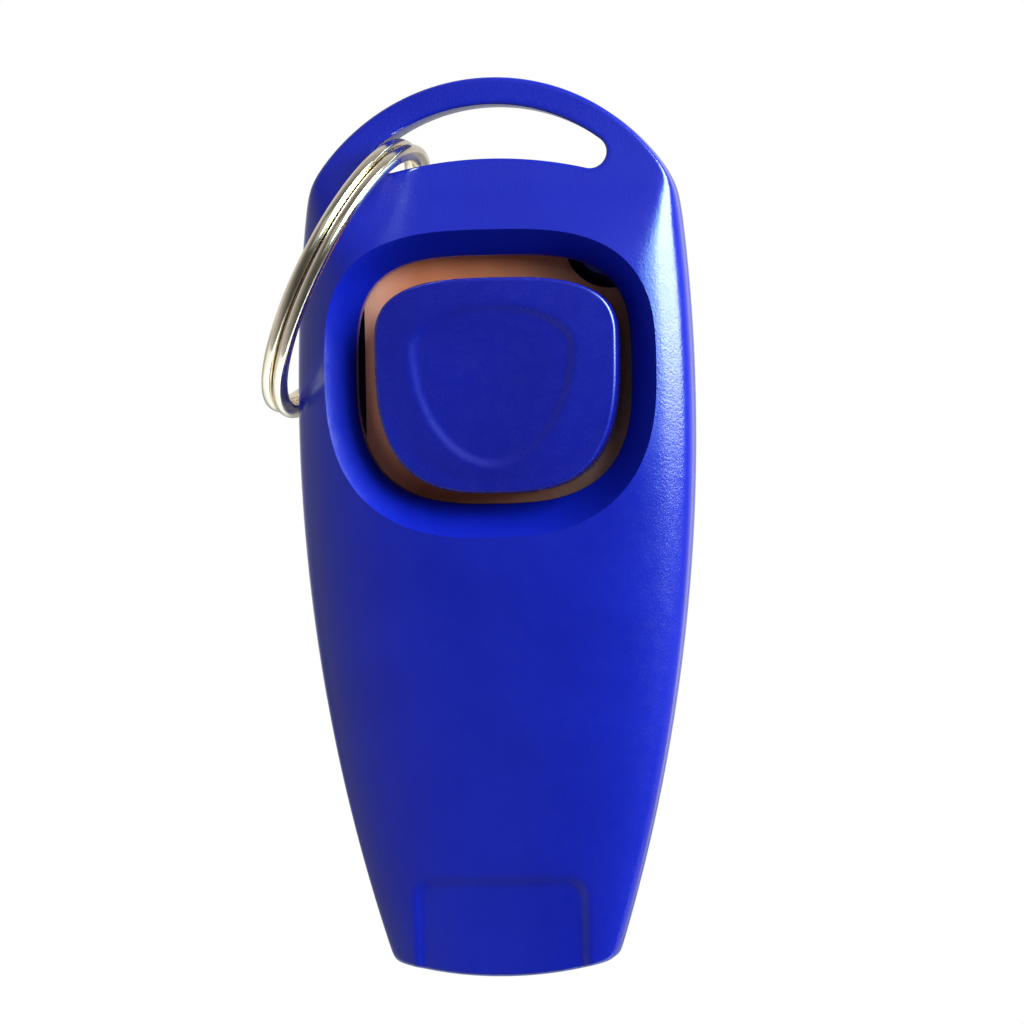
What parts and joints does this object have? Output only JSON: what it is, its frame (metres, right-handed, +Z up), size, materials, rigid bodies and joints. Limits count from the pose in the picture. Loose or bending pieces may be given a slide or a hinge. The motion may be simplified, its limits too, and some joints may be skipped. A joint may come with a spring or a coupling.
{
  "type": "clicker trainer",
  "caption": "Palm-size blue plastic training clicker with a dished thumb button over a sprung steel leaf, a whistle in its mouth end and a split key ring through its top slot.",
  "frame": {"origin": "the hang point: the middle of the upper edge of the slot at the top, on the plane where the shells meet", "axes": "+Z up along the body from the mouthpiece to the slot; the button faces -Y; +X is to the right as seen from the button side"},
  "size_m": [0.0381, 0.0269, 0.0801],
  "materials": {
    "case_blue": "fine satin grain, moulded",
    "button_blue": "satin, moulded",
    "inner_blue": "plain moulded",
    "tempered_steel": "heat-tempered brown, satin",
    "zinc_steel": "bright zinc plate",
    "nickel_steel": "bright nickel plate"
  },
  "bodies": {
    "case": {"front_shell": "case_blue", "back_shell": "case_blue", "click_leaf": "tempered_steel", "leaf_clamp_bar": "zinc_steel", "leaf_screw_left": "zinc_steel", "leaf_screw_right": "zinc_steel", "windway_block": "inner_blue", "resonance_tub": "inner_blue", "case_screw_top": "zinc_steel", "case_screw_left": "zinc_steel", "case_screw_right": "zinc_steel"},
    "button": {"click_button": "button_blue", "button_screw": "zinc_steel"},
    "key_ring": {"split_ring": "nickel_steel"}
  },
  "joints": [
    {"name": "button_press", "type": "slide", "parent": "case", "child": "button", "axis": [0, 1, 0], "range_m": [0, 0.0012], "stiffness_N_per_m": 3000, "springref_m": -0.0003, "deforming": ["click_leaf"]},
    {"name": "ring_swing", "type": "hinge", "parent": "case", "child": "key_ring", "pos_m": [-0.00757, -0.0002, -0.00381], "axis": [0, 1, 0], "range_deg": [0, 235]}
  ]
}
